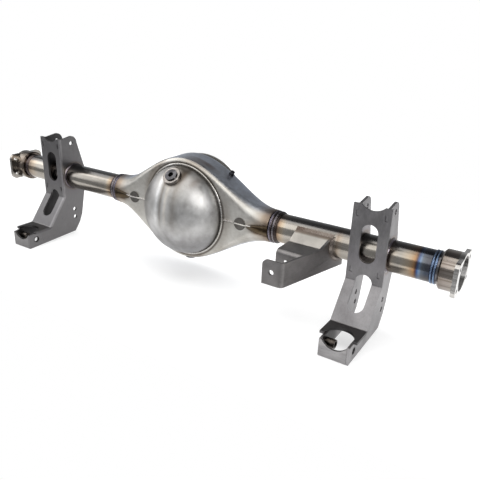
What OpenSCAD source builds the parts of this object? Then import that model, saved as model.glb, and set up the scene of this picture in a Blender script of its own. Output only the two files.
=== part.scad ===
// Rear axle housing of the drop-out carrier kind: a pressed centre with a domed rear cover,
// two tubes with bearing ends, two welded link and shock brackets, and a track bar bracket.
// X runs along the axle, +Y points to the carrier side, +Z is up; the tube axis is the X axis.

/* [Axle tubes] */
// Outside diameter of each axle tube
tube_od = 76.2; // [70:0.1:84]
// Wall of each axle tube
tube_wall = 6.35; // [4:0.05:9]
// Length of tube inside the pressed centre's socket
tube_socket = 22; // [10:1:40]
// Distance from the middle to the tube's outer end
tube_reach = 687; // [640:1:760]

/* [Pressed centre] */
// Half of the centre's length, up to the tube sockets
centre_half_len = 268; // [240:1:300]
// Height of the crown above the tube axis
crown_h = 146; // [138:0.5:160]
// Place of the crown's highest point along the axle
crown_x = -8; // [-20:1:20]
// Wall of the pressed halves
shell_wall = 5; // [4:0.1:6]
// Room round the tube in the sockets of the pressed halves
socket_room = 0.9; // [0.7:0.1:1.5]
// Radius of the pressed edges at the crown
edge_r = 14; // [11:0.5:20]
// Radius of the opening that the rear cover fills
cover_open_r = 126; // [122:0.5:127]
// Width of the sunk weld pockets at the tube end of the seam
pocket_r = 9; // [5:0.5:12]
// Length of those pockets
pocket_len = 56; // [40:1:70]
// Depth that those pockets are sunk
pocket_depth = 3; // [1:0.5:4]

/* [Rear cover] */
// Depth of the dome behind the rim
cover_depth = 90; // [80:1:100]
// Wall of the spun dome
cover_wall = 5; // [3:0.1:6]
// Width of the weld round the dome's rim
cover_weld_w = 6; // [3:0.5:8]
// Height of that weld
cover_weld_h = 3; // [1:0.5:5]

/* [Carrier flange] */
// Radius of the carrier opening
carrier_open_r = 119; // [112:0.5:121]
// Outside radius of the flange ring
flange_ring_r = 142; // [140:0.5:146]
// Thickness of the flange ring
flange_ring_t = 9; // [6:0.5:12]
// Circle diameter of the carrier's stud holes
stud_pcd = 264; // [258:0.5:268]
// Diameter of a stud hole
stud_hole_d = 9.9; // [8:0.1:12]
// Number of stud holes
stud_count = 10; // [8:1:12]
// Room round a plug or fitting in its hole
plug_clear = 0.15; // [0.1:0.05:0.4]

/* [Plugs and vent] */
// Sideways place of the filler bung on the dome
bung_x = 1; // [-30:1:30]
// Height of the filler bung on the dome
bung_z = 104; // [80:1:108]
// Outside radius of the filler bung
bung_r = 25; // [20:0.5:30]
// Height of the filler bung above the dome
bung_h = 9; // [6:0.5:15]
// Radius of the filler plug's head
plug_r = 17; // [12:0.5:18]
// Height of the filler plug's head above its bung
plug_h = 4; // [2:0.5:8]
// Width across flats of the plugs' drive sockets
socket_af = 14; // [10:0.5:16]
// Depth of the drive sockets
socket_depth = 7; // [4:0.5:10]
// Radius of the drain plug's bung
drain_r = 18; // [14:0.5:22]
// Height of the drain plug's bung below the centre
drain_h = 8; // [5:0.5:12]
// Sideways place of the vent
vent_x = 112; // [90:1:120]
// Radius of the vent's stem
vent_r = 5; // [3:0.5:7]
// Height of the vent above the centre
vent_h = 14; // [8:1:25]
// Distance of the seam discs from the middle
disc_x = 186; // [170:1:195]
// Radius of the seam discs
disc_r = 17; // [12:0.5:20]
// How far the seam discs stand off the rear face
disc_h = 2; // [1:0.5:4]

/* [Housing ends] */
// Distance from the tube's outer end to the end flange's outer face
end_face_x = 58; // [56:1:80]
// Diameter of the bearing bore
bearing_bore = 80; // [74:0.1:84]
// Depth of the bearing bore
bearing_depth = 30; // [20:1:34]
// Outside diameter of the bearing cup
cup_od = 94; // [90:0.5:100]
// Length of the bearing cup with its flange
cup_len = 46; // [40:1:56]
// Chamfer at the back of the bearing cup
cup_chamfer = 4; // [2:0.5:6]
// Thickness of the end flange
end_flange_t = 10; // [8:0.5:14]
// End flange bolt spacing, front to rear
end_bolt_y = 90.5; // [84:0.5:96]
// End flange bolt spacing, up and down
end_bolt_z = 50.8; // [44:0.1:60]
// Diameter of the end flange bolt holes
end_bolt_d = 9.9; // [8:0.1:14]
// Radius of the end flange corners about each bolt hole
end_corner_r = 16; // [13:0.5:18]

/* [Link brackets] */
// Distance from the middle to the left bracket's mid plane
left_bracket_x = 532; // [500:1:560]
// Distance from the middle to the right bracket's mid plane
right_bracket_x = 542; // [520:1:560]
// Width of the bent face plate
face_w = 91; // [84:0.5:100]
// Thickness of the bracket plates
plate_t = 6.35; // [5:0.05:8]
// Width of a bracket over its two side plates
side_span = 74; // [68:0.5:78]
// Distance of the face plate's rear face behind the tube axis
face_y = 55; // [52:0.5:60]
// Height of the face plate's top above the tube axis
face_top = 127.5; // [120:0.5:134]
// Depth of the bend between face and web below the tube axis
face_low = 60.5; // [55:0.5:65]
// Distance of the web's lower bend behind the tube axis
web_y = 121; // [112:0.5:128]
// Depth of the foot plate's top below the tube axis
foot_top = 145; // [140:0.5:150]
// Distance of the foot plate's rear edge behind the tube axis
foot_edge_y = 178.5; // [172:0.5:184]
// Distance of the foot's rear wall behind the tube axis
foot_wall_y = 198; // [192:0.5:206]
// Depth of the foot's lowest edge below the tube axis
foot_low = 197; // [192:0.5:204]
// Height of the foot's rear wall
foot_wall_h = 44; // [36:0.5:46]
// Inside radius of the bends in the face plate
bend_r = 6; // [3:0.5:10]
// Width of the two long lightening slots
slot_w = 40; // [30:0.5:44]
// Top of the upper slot above the tube axis
slot_top = 83; // [70:0.5:88]
// Bottom of the upper slot below the tube axis
slot_low = 12; // [5:0.5:15]
// Top of the lower slot below the tube axis
slot2_top = 41; // [36:0.5:46]
// Length of the lower slot down the web
slot2_len = 75; // [50:0.5:84]
// Radius of the scallop in the face plate's top edge
top_scallop_r = 37.5; // [34:0.5:44]
// Depth of the scallop in the face plate's top edge
top_scallop_depth = 12; // [6:0.5:14]
// Radius of the foot pocket, in the foot plate and its rear wall
pocket_scallop_r = 35; // [28:0.5:36]
// Depth of the scallop in the foot's rear wall
wall_scallop_depth = 19; // [12:0.5:22]
// Ear hole place, forward of the tube axis
ear_y = -3; // [-10:0.5:4]
// Ear hole place, above the tube axis
ear_z = 108; // [104:0.5:112]
// Radius of the ear about its hole
ear_r = 23; // [18:0.5:25]
// Diameter of the ear and link holes
link_hole_d = 13; // [10:0.1:16]
// Link hole place, forward of the tube axis
link_y = -9; // [-14:0.5:0]
// Depth of the upper link hole below the tube axis
link_a_z = 113; // [108:0.5:118]
// Depth of the lower link hole below the tube axis
link_b_z = 139.5; // [134:0.5:144]
// Distance of the shock bolt behind the tube axis
shock_y = 171.5; // [165:0.5:176]
// Depth of the shock bolt below the tube axis
shock_z = 172; // [168:0.5:178]
// Diameter of the shock bolt hole
shock_hole_d = 14; // [10:0.1:16]
// Outside diameter of the shock bolt sleeve
sleeve_od = 22; // [18:0.5:26]
// Length of the shock bolt sleeve inside the foot
sleeve_len = 24; // [12:0.5:34]
// Rim of plate left round the tube on the carrier side
tube_rim = 9; // [7:0.5:12]
// Height of the side plates' tabs in the face plate
tab_h = 14; // [8:0.5:18]
// Height of the upper tabs above the tube axis
tab_up_z = 105; // [98:0.5:110]
// Depth of the lower tabs below the tube axis
tab_low_z = 34; // [26:0.5:38]
// How far the tabs stay below the face
tab_sunk = 1.5; // [0.5:0.5:3]
// Leg of the fillet welds round the tube
weld_leg = 5; // [3:0.5:7]
// Room round the tube in the plates
tube_clear = 0.3; // [0.2:0.05:0.6]

/* [Track bar bracket] */
// Gap along the tube from the right bracket to the side plate's outer face
track_x = 50; // [43:1:60]
// Distance of the bolt tab's rear face behind the tube axis
track_tab_y = 200; // [190:1:210]
// Angle of the side plate to the axle's cross plane
track_angle = 14.7; // [10:0.1:18]
// Distance of the bolt tab's free edge from the side plate's outer face at the tube
track_tab_x = 105; // [99:1:113]
// Depth of the bracket's lower edge below the tube axis
track_low = 61; // [56:0.5:66]
// Distance of the cover's rear wall behind the tube axis
track_wall_y = 132; // [124:1:140]
// Distance of the cover's upper bend behind the tube axis
track_bend_y = 70; // [64:1:78]
// Where the cover meets the tube, behind the tube axis
track_seat_y = 30; // [26:0.5:33]
// Distance of the cover's free edge from the side plate's outer face at the tube
track_cover_x = 108; // [101:1:115]
// Distance of the track bar bolt from the bolt tab's free edge
track_bolt_x = 24; // [20:0.5:30]
// Depth of the track bar bolt below the tube axis
track_bolt_z = 29; // [26:0.5:34]
// Diameter of the track bar bolt hole
track_bolt_d = 13; // [10:0.1:16]
// Radius of the bolt tab's free corner
track_corner_r = 13; // [8:0.5:16]
// Reach of the side plate under the tube, to the carrier side
track_front_y = 12; // [6:0.5:18]

/* [Hidden] */

$fn = 96;
eps = 0.01;
// Length of a cutting tool that passes right through
through = 400;
bare_steel = "#b9b4ab";
plate_grey = "#77757a";
dark_plug = "#2e2c30";
bright_steel = "#d9d9dc";
weld_blue = "#5f5a72";

tube_r = tube_od / 2;
// Half of the centre's depth, front to rear: the tube, its room and the wall
centre_half_depth = tube_r + socket_room + shell_wall;
tube_bore_r = tube_r - tube_wall;
// Stations along the centre, and steps round each pressed edge
stations = 40;
edge_steps = 6;
// Steps of the dome's profile from rim to crown
dome_steps = 18;
// Least straight run beside a pressed edge, so that no two points fall together
edge_flat = 0.6;
side_x = side_span / 2 - plate_t / 2;
face_in_y = face_y - plate_t;
foot_under = foot_top + plate_t;
slope_run = web_y - face_y;
slope_drop = foot_top - face_low;
web_angle = atan2(slope_drop, slope_run);
flange_x = tube_reach + end_face_x;
end_back_x = flange_x - cup_len;
flange_face_y = centre_half_depth + flange_ring_t;
cover_r = cover_open_r - tube_clear;
cover_base_y = centre_half_depth - shell_wall;
dome_depth = cover_depth + shell_wall;
// The weld collars between the pressed centre and the tubes
collar_len = 26;
collar_r = centre_half_depth - 1.5;
bead_rise = 1.6;
bead_w = 7;
vent_y = 20;
// Steps of each bend in a plate
bend_steps = 5;
// Rear line of a bracket's face plate in Y and Z: face, web and foot plate
face_line = [[-face_y, face_top], [-face_y, -face_low], [-web_y, -foot_top], [-foot_edge_y, -foot_top]];
// Heights of the round ends' centres of the slots on the face
slot_foot = slot_w / 2 - slot_low;
slot_head = slot_top - slot_w / 2;
slot2_head = -slot2_top - slot_w / 2;
slot2_foot = slot_w / 2 - slot2_len;
// How far the side plates' upper corner stays below the face plate's top
side_drop = 3;
// Outside radius of the side plates about the tube
rim_r = tube_r + tube_rim;
// Carrier-side edge of a side plate from the tube's rim down to the foot, in Y and Z
front_edge = [[rim_r, 15], [rim_r, -18], [37, -62], [21, -link_b_z + 2.5], [9, -link_b_z - ear_r],
    [link_y - 4, 7 - foot_low]];
// The track bar bracket's lines: the bolt tab and side plate in plan, the cover in Y and Z
track_slope = tan(track_angle);
// Places along the axle of its side plate at the tube, its bolt tab's edge and its cover's edge
track_side = right_bracket_x - side_span / 2 - track_x;
track_tab = track_side - track_tab_x;
track_edge = track_side - track_cover_x;
track_seat_z = sqrt(tube_r * tube_r - track_seat_y * track_seat_y);
track_plan = [[track_tab, -track_tab_y], [track_side - track_slope * track_tab_y, -track_tab_y],
    [track_side + track_slope * track_front_y, track_front_y]];
track_roof = [[-track_seat_y, track_seat_z], [-track_bend_y, 0],
    [-track_wall_y, 0], [-track_wall_y, -track_low]];

// Points of an arc about a centre
function arc(c, r, a0, a1, n) = [for (i = [0:n]) let (a = a0 + (a1 - a0) * i / n) c + r * [cos(a), sin(a)]];

// Share of the crown's rise at a place along the axle: half a raised cosine from each socket to the crown
function swell(x) = (1 + cos(180 * (x - crown_x) / (centre_half_len - sign(x - crown_x) * crown_x))) / 2;
function shell_h(x) = centre_half_depth + (crown_h - centre_half_depth) * swell(x);
function shell_edge(x) =
    let (blunt = centre_half_depth - edge_flat)
    blunt + (edge_r - blunt) * (1 - pow(1 - swell(x), 3));

// Half section of the pressed channel in Y and Z, set in from the outside
function channel(x, inset) =
    let (d = centre_half_depth, h = shell_h(x), r = shell_edge(x))
    concat(
        [[d - inset, 0]],
        arc([d - r, h - r], r - inset, 0, 90, edge_steps),
        arc([r - d, h - r], r - inset, 90, 180, edge_steps),
        [[inset - d, 0]]);

function reversed(list) = [for (i = [len(list) - 1:-1:0]) list[i]];

// Upper pressed half: the channel section carried along the axle, inside and outside
module pressed_half() {
    rings = [for (i = [0:stations])
        let (x = centre_half_len * (2 * i / stations - 1))
        [for (p = concat(channel(x, 0), reversed(channel(x, shell_wall)))) [x, p[0], p[1]]]];
    n = len(rings[0]);
    sides = [for (i = [0:stations - 1], j = [0:n - 1])
        let (a = i * n + j, b = i * n + (j + 1) % n)
        each [[a, a + n, b], [b, a + n, b + n]]];
    // Each end is closed by the strip between the inner and outer lines
    last = stations * n;
    caps = [for (j = [0:n / 2 - 2])
        let (k = n - 1 - j)
        each [[j, j + 1, k], [k, j + 1, k - 1],
              [last + j, last + k, last + j + 1], [last + k, last + k - 1, last + j + 1]]];
    polyhedron(points = [for (r = rings) each r], faces = concat(sides, caps));
}

module along_x(x) { translate([x, 0, 0]) rotate([0, 90, 0]) children(); }
module along_y(x, y, z) { translate([x, y, z]) rotate([90, 0, 0]) children(); }

// Tool for the cover opening, the carrier opening and the sunk seam pockets
module centre_cuts() {
    along_y(0, 0, 0) cylinder(r = cover_open_r, h = through);
    along_y(0, through, 0) cylinder(r = carrier_open_r, h = through);
    // Each pocket is a lying cone with its tip on the rear face
    tilt = atan2(pocket_r - pocket_depth, pocket_len);
    for (s = [0, 1]) mirror([s, 0, 0])
        translate([centre_half_len - pocket_len, -centre_half_depth, 0]) rotate([0, 0, -tilt])
            rotate([0, 90, 0]) cylinder(r1 = eps, r2 = pocket_r, h = 1.1 * pocket_len);
}

module center_upper_half() {
    color(bare_steel) difference() {
        pressed_half();
        centre_cuts();
        vent_axis() cylinder(r = vent_r, h = through, center = true);
    }
}

module center_lower_half() {
    color(bare_steel) difference() {
        mirror([0, 0, 1]) pressed_half();
        centre_cuts();
        translate([0, 0, -through]) cylinder(r = drain_r, h = through);
    }
}

// Half profile of the spun dome: an ellipse quarter from rim to crown
function dome_line(r, depth) =
    [for (i = [0:dome_steps]) let (a = 90 * i / dome_steps) [r * cos(a), depth * sin(a)]];
module dome_half(r, depth) { polygon(concat([[0, 0]], dome_line(r, depth))); }
module dome_solid(r, depth) { rotate([90, 0, 0]) rotate_extrude() dome_half(r, depth); }

module rear_cover() {
    color(bare_steel) translate([0, -cover_base_y, 0]) difference() {
        dome_solid(cover_r, dome_depth);
        translate([0, eps, 0]) dome_solid(cover_r - cover_wall, dome_depth - cover_wall);
        translate([0, cover_base_y, 0]) bung_axis() cylinder(r = bung_r, h = 4 * bung_h, center = true);
    }
}

module rear_cover_weld() {
    root_r = cover_r - cover_weld_w / 2;
    color(bare_steel) along_y(0, -centre_half_depth, 0) rotate_extrude() difference() {
        polygon([[root_r, 0], [cover_open_r + cover_weld_w, 0],
                 [cover_open_r + cover_weld_w / 2, cover_weld_h], [root_r, cover_weld_h]]);
        translate([0, -shell_wall]) dome_half(cover_r, dome_depth);
    }
}

module stud_places() {
    for (i = [0:stud_count - 1])
        rotate([0, 360 * (i + 0.5) / stud_count, 0])
            translate([stud_pcd / 2, 0, 0]) rotate([-90, 0, 0]) children();
}

module carrier_flange() {
    color(bare_steel) difference() {
        along_y(0, flange_face_y, 0) cylinder(r = flange_ring_r, h = flange_ring_t);
        along_y(0, through, 0) cylinder(r = carrier_open_r, h = through);
        stud_places() cylinder(d = stud_hole_d, h = through);
    }
}

// Local frame on the dome at the filler bung, Z along the dome's normal
module bung_axis() {
    fall = sqrt(1 - (bung_x * bung_x + bung_z * bung_z) / (cover_r * cover_r));
    normal = [bung_x / pow(cover_r, 2), -fall / dome_depth, bung_z / pow(cover_r, 2)];
    translate([bung_x, -cover_base_y - dome_depth * fall, bung_z])
        rotate([0, acos(normal[2] / norm(normal)), atan2(normal[1], normal[0])]) children();
}

// Local frame on the crown at the vent, Z along the wall's normal
module vent_axis() {
    step = 0.5;
    slope = (shell_h(vent_x + step) - shell_h(vent_x - step)) / (2 * step);
    translate([vent_x, vent_y, shell_h(vent_x)]) rotate([0, -atan(slope), 0]) children();
}

// Threaded plug: a head on its bung, a stem in the bung and a drive socket in the head
module drive_plug(stem) {
    difference() {
        union() {
            cylinder(r = plug_r, h = plug_h);
            translate([0, 0, -stem]) cylinder(r = plug_r - plug_h, h = stem + eps);
        }
        translate([0, 0, plug_h - socket_depth])
            cylinder(d = socket_af / cos(30), h = socket_depth + eps, $fn = 6);
    }
}

// Bung: a ring through the wall, with its bore for the plug's stem
module plug_ring(r, rise, sunk) {
    difference() {
        translate([0, 0, -sunk]) cylinder(r = r, h = sunk + rise);
        translate([0, 0, -sunk - eps]) cylinder(r = plug_r - plug_h + plug_clear, h = sunk + rise + 2 * eps);
    }
}

module filler_bung() { color(bare_steel) bung_axis() plug_ring(bung_r, bung_h, 2 * cover_wall); }
module filler_plug() { color(dark_plug) bung_axis() translate([0, 0, bung_h]) drive_plug(bung_h); }

module drain_axis() { translate([crown_x, 0, -crown_h]) rotate([180, 0, 0]) children(); }
module drain_bung() { color(bare_steel) drain_axis() plug_ring(drain_r, drain_h, shell_wall); }
module drain_plug() { color(dark_plug) drain_axis() translate([0, 0, drain_h]) drive_plug(drain_h); }

module vent_fitting() {
    color(dark_plug) vent_axis() {
        translate([0, 0, -shell_wall]) cylinder(r = vent_r - plug_clear, h = shell_wall + vent_h);
        cylinder(r = 1.6 * vent_r, h = 0.8 * vent_r, $fn = 6);
        for (z = [1.2, 2.2] * vent_r) translate([0, 0, z]) cylinder(r = 1.2 * vent_r, h = 0.4 * vent_r);
    }
}

module seam_discs() {
    color(plate_grey) for (s = [-1, 1])
        along_y(s * disc_x, -centre_half_depth, 0) cylinder(r = disc_r, h = disc_h);
}

module right_axle_tube() {
    start = centre_half_len - tube_socket;
    color(bare_steel) along_x(start) difference() {
        cylinder(r = tube_r, h = tube_reach - start);
        translate([0, 0, -eps]) cylinder(r = tube_bore_r, h = tube_reach - start + 2 * eps);
    }
}
module left_axle_tube() { mirror([1, 0, 0]) right_axle_tube(); }

// Weld collar at the socket: a short ring with a raised bead at each end
module right_tube_collar() {
    color(weld_blue) along_x(centre_half_len) rotate_extrude() polygon([
        [tube_r, 0], [collar_r, 0], [collar_r + bead_rise, bead_w / 2], [collar_r, bead_w],
        [collar_r, collar_len - bead_w], [collar_r + bead_rise, collar_len - bead_w / 2],
        [tube_r + bead_rise, collar_len], [tube_r, collar_len]]);
}
module left_tube_collar() { mirror([1, 0, 0]) right_tube_collar(); }

// Outline of the end flange: a corner about each bolt hole, joined across, and the cup's round
module end_flange_outline() {
    circle(d = cup_od);
    square([end_bolt_z + 2 * end_corner_r, end_bolt_y], center = true);
    square([end_bolt_z, end_bolt_y + 2 * end_corner_r], center = true);
    for (a = [-1, 1], b = [-1, 1])
        translate([a * end_bolt_z / 2, b * end_bolt_y / 2]) circle(r = end_corner_r);
}

module right_housing_end() {
    color(bright_steel) along_x(0) difference() {
        union() {
            translate([0, 0, tube_reach]) cylinder(r = tube_r, h = end_back_x - tube_reach + eps);
            translate([0, 0, end_back_x])
                cylinder(r1 = cup_od / 2 - cup_chamfer, r2 = cup_od / 2, h = cup_chamfer + eps);
            translate([0, 0, end_back_x + cup_chamfer]) cylinder(d = cup_od, h = cup_len - cup_chamfer);
            translate([0, 0, flange_x - end_flange_t]) linear_extrude(end_flange_t) end_flange_outline();
        }
        translate([0, 0, tube_reach - eps]) cylinder(r = tube_bore_r, h = flange_x);
        translate([0, 0, flange_x - bearing_depth]) cylinder(d = bearing_bore, h = bearing_depth + eps);
        for (a = [-1, 1], b = [-1, 1])
            translate([a * end_bolt_z / 2, b * end_bolt_y / 2, flange_x - end_flange_t - eps])
                cylinder(d = end_bolt_d, h = through);
    }
}
module left_housing_end() { mirror([1, 0, 0]) right_housing_end(); }

// Butt weld between tube and end: two humps side by side
module right_end_weld() {
    w = min(bead_w, end_back_x - tube_reach);
    color(weld_blue) along_x(tube_reach) rotate_extrude() polygon([
        [tube_r, -w], [tube_r + bead_rise, -w / 2], [tube_r + bead_rise / 2, 0],
        [tube_r + bead_rise, w / 2], [tube_r, w]]);
}
module left_end_weld() { mirror([1, 0, 0]) right_end_weld(); }

// Bent plate: a line of outer points, bends of one inside radius, thickness to the left of the line
function unit(v) = v / norm(v);
function left_of(d) = [-d[1], d[0]];
function cross2(a, b) = a[0] * b[1] - a[1] * b[0];
function bend_points(p, d1, d2, r, t, off) =
    let (s = sign(cross2(d1, d2)),
         turn = acos(d1 * d2),
         base = s > 0 ? r + t : r,
         c = p - d1 * base * tan(turn / 2) + s * base * left_of(d1),
         spoke = -s * left_of(d1),
         a0 = atan2(spoke[1], spoke[0]))
    [for (i = [0:bend_steps])
        let (a = a0 + s * turn * i / bend_steps)
        c + (base - s * off) * [cos(a), sin(a)]];
function plate_line(pts, r, t, off) =
    let (n = len(pts), d = [for (i = [0:n - 2]) unit(pts[i + 1] - pts[i])])
    concat([pts[0] + off * left_of(d[0])],
           [for (i = [1:n - 2]) each bend_points(pts[i], d[i - 1], d[i], r, t, off)],
           [pts[n - 1] + off * left_of(d[n - 2])]);
module bent_plate(pts) {
    polygon(concat(plate_line(pts, bend_r, plate_t, 0), reversed(plate_line(pts, bend_r, plate_t, plate_t))));
}

// Turns a drawing in Y and Z into a solid along X, centred on the mid plane
module yz_extrude(w) { translate([-w / 2, 0, 0]) rotate([90, 0, 90]) linear_extrude(w) children(); }

// Tool for a slot along Z from z0 to z1, with rounds about the given heights
module slot_tool(w, z0, z1, rounds) {
    rotate([90, 0, 0]) linear_extrude(through, center = true) {
        translate([-w / 2, z0]) square([w, z1 - z0]);
        for (z = rounds) translate([0, z]) circle(d = w);
    }
}

// Boxes at the side plates' tabs, reaching out from the face plate's front
module tab_boxes(x, w, reach, room) {
    for (z = [tab_up_z, -tab_low_z])
        translate([x - w / 2, -face_in_y - reach, z - tab_h / 2 - room])
            cube([w, reach + eps, tab_h + 2 * room]);
}

module face_plate() {
    color(plate_grey) difference() {
        yz_extrude(face_w) bent_plate(face_line);
        along_y(0, 0, face_top - top_scallop_depth + top_scallop_r) cylinder(r = top_scallop_r, h = through);
        slot_tool(slot_w, slot_foot, slot_head, [slot_foot, slot_head]);
        // The lower slot starts with a round on the face and runs down the web, a hair wider there
        along_y(0, 0, slot2_head) cylinder(d = slot_w, h = web_y);
        translate([0, -face_y, -face_low]) rotate([web_angle - 90, 0, 0])
            slot_tool(slot_w + 4 * eps, slot2_foot, plate_t / 2, [slot2_foot]);
        translate([0, plate_t / 2 - foot_edge_y, -through]) cylinder(r = pocket_scallop_r, h = 2 * through);
        for (s = [-1, 1]) tab_boxes(s * side_x, plate_t + 2 * tube_clear, through, tube_clear);
    }
}

// Side plate outline in Y and Z, up to a given distance behind the tube axis
module side_outline(rear_y) {
    seat = plate_line(face_line, bend_r, plate_t, plate_t);
    difference() {
        union() {
            translate([ear_y, ear_z]) circle(r = ear_r);
            circle(r = rim_r);
            polygon(concat(
                [[-face_in_y, face_top - side_drop], [ear_y, ear_z + ear_r], [ear_y + ear_r, ear_z]],
                front_edge,
                [[-rear_y, -foot_low], [-rear_y, foot_wall_h - foot_low]],
                [for (i = [len(seat) - 1:-1:1]) seat[i]]));
        }
        circle(r = tube_r + tube_clear);
        translate([ear_y, ear_z]) circle(d = link_hole_d);
        for (z = [link_a_z, link_b_z]) translate([link_y, -z]) circle(d = link_hole_d);
        translate([-shock_y, -shock_z]) circle(d = shock_hole_d);
    }
}

module side_plate(x, rear_y) {
    color(plate_grey) {
        translate([x, 0, 0]) yz_extrude(plate_t) side_outline(rear_y);
        tab_boxes(x, plate_t, plate_t - tab_sunk, 0);
    }
}

// The side plate that carries the shock sleeve ends at the foot's rear wall; the other covers its end
module sleeve_side() { side_plate(-side_x, foot_wall_y - plate_t); }
module plain_side() { side_plate(side_x, foot_wall_y); }

module foot_wall() {
    color(plate_grey) difference() {
        translate([-side_span / 2, -foot_wall_y, -foot_low])
            cube([side_span - plate_t, plate_t, foot_wall_h]);
        along_y(0, 0, foot_wall_h - foot_low - wall_scallop_depth + pocket_scallop_r)
            cylinder(r = pocket_scallop_r, h = through);
    }
}

module shock_sleeve() {
    color(bright_steel) translate([plate_t - side_span / 2, -shock_y, -shock_z]) rotate([0, 90, 0])
        difference() {
            cylinder(d = sleeve_od, h = sleeve_len);
            translate([0, 0, -eps]) cylinder(d = shock_hole_d, h = sleeve_len + 2 * eps);
        }
}

// Fillet round the tube on the outer face of each side plate
module bracket_welds() {
    color(weld_blue) for (s = [0, 1]) mirror([s, 0, 0]) along_x(side_span / 2)
        rotate_extrude() polygon([[tube_r, 0], [tube_r + weld_leg, 0], [tube_r, weld_leg]]);
}

module at_left() { translate([-left_bracket_x, 0, 0]) children(); }
module at_right() { translate([right_bracket_x, 0, 0]) children(); }
module left_bracket_face_plate() { at_left() face_plate(); }
module left_bracket_outer_side() { at_left() sleeve_side(); }
module left_bracket_inner_side() { at_left() plain_side(); }
module left_foot_wall() { at_left() foot_wall(); }
module left_shock_sleeve() { at_left() shock_sleeve(); }
module left_bracket_welds() { at_left() bracket_welds(); }
module right_bracket_face_plate() { at_right() face_plate(); }
module right_bracket_outer_side() { at_right() plain_side(); }
module right_bracket_inner_side() { at_right() sleeve_side(); }
module right_foot_wall() { at_right() foot_wall(); }
module right_shock_sleeve() { at_right() shock_sleeve(); }
module right_bracket_welds() { at_right() bracket_welds(); }

// Upper limit of the track bar side plate in Y and Z: the cover's line, wide of the plate elsewhere
module track_outline() {
    low = -track_low - plate_t;
    rear = -track_tab_y - plate_t;
    front = track_front_y + plate_t;
    polygon([[rear, low], [front, low], [front, 0],
        [-track_seat_y, track_seat_z], [-track_bend_y, 0], [rear, 0]]);
}

// All that lies beyond a plane set in from the side plate's outer face
module beyond_side(inset) {
    translate([track_side, 0, 0]) rotate([0, 0, -track_angle])
        translate([-inset, -through, -through]) cube([through, 2 * through, 2 * through]);
}

module tube_tool(r) { along_x(0) cylinder(r = r, h = tube_reach); }
module track_bolt_tool() {
    along_y(track_tab + track_bolt_x, 0, -track_bolt_z) cylinder(d = track_bolt_d, h = through);
}

module track_bar_side_plate() {
    color(plate_grey) difference() {
        intersection() {
            translate([0, 0, -track_low]) linear_extrude(track_low + tube_r) bent_plate(track_plan);
            translate([track_side, 0, 0]) yz_extrude(2 * through) track_outline();
        }
        tube_tool(tube_r + tube_clear);
        track_bolt_tool();
        // Round of the tab's free upper corner
        translate([track_tab, 0, 0]) rotate([90, 0, 0]) linear_extrude(through)
            polygon(concat([[-plate_t, -track_corner_r]],
                arc([track_corner_r, -track_corner_r], track_corner_r, 180, 90, 2 * edge_steps),
                [[track_corner_r, plate_t], [-plate_t, plate_t]]));
    }
}

module track_bar_cover() {
    color(plate_grey) difference() {
        translate([track_edge, 0, 0]) rotate([90, 0, 90]) linear_extrude(track_cover_x)
            bent_plate(track_roof);
        beyond_side(plate_t);
        tube_tool(tube_r + tube_clear);
        track_bolt_tool();
    }
}

// Fillets at the tube: along the cover's upper edge and round the side plate's outer face
module track_bar_weld() {
    seat = track_roof[0];
    along = unit(track_roof[1] - seat);
    round_r = tube_r / cos(track_angle) + weld_leg;
    color(weld_blue) difference() {
        union() {
            difference() {
                translate([track_edge, 0, 0]) rotate([90, 0, 90]) linear_extrude(track_cover_x)
                    polygon([seat, seat + weld_leg * [-seat[1], seat[0]] / -tube_r, seat + weld_leg * along]);
                beyond_side(0);
            }
            intersection() {
                translate([track_side, 0, 0]) rotate([0, 0, -track_angle]) rotate([0, 90, 0])
                    cylinder(r1 = round_r, r2 = round_r - weld_leg, h = weld_leg);
                translate([track_side, 0, 0]) yz_extrude(through) track_outline();
            }
        }
        tube_tool(tube_r);
    }
}

center_upper_half();
center_lower_half();
rear_cover();
rear_cover_weld();
carrier_flange();
filler_bung();
filler_plug();
drain_bung();
drain_plug();
vent_fitting();
seam_discs();
left_axle_tube();
right_axle_tube();
left_tube_collar();
right_tube_collar();
left_housing_end();
right_housing_end();
left_end_weld();
right_end_weld();
left_bracket_face_plate();
left_bracket_outer_side();
left_bracket_inner_side();
left_foot_wall();
left_shock_sleeve();
left_bracket_welds();
right_bracket_face_plate();
right_bracket_outer_side();
right_bracket_inner_side();
right_foot_wall();
right_shock_sleeve();
right_bracket_welds();
track_bar_side_plate();
track_bar_cover();
track_bar_weld();
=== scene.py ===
"""Looks of a welded rear axle housing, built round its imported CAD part.

Run as a script it loads the part, adds the detailed pieces, gives every surface its finish and sets the studio.
Lengths are metres in the part's own frame. Tables of tints and sizes of patterns are in millimetres.
"""

import bpy
import numpy as np
from mathutils import Matrix, Vector


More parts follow.
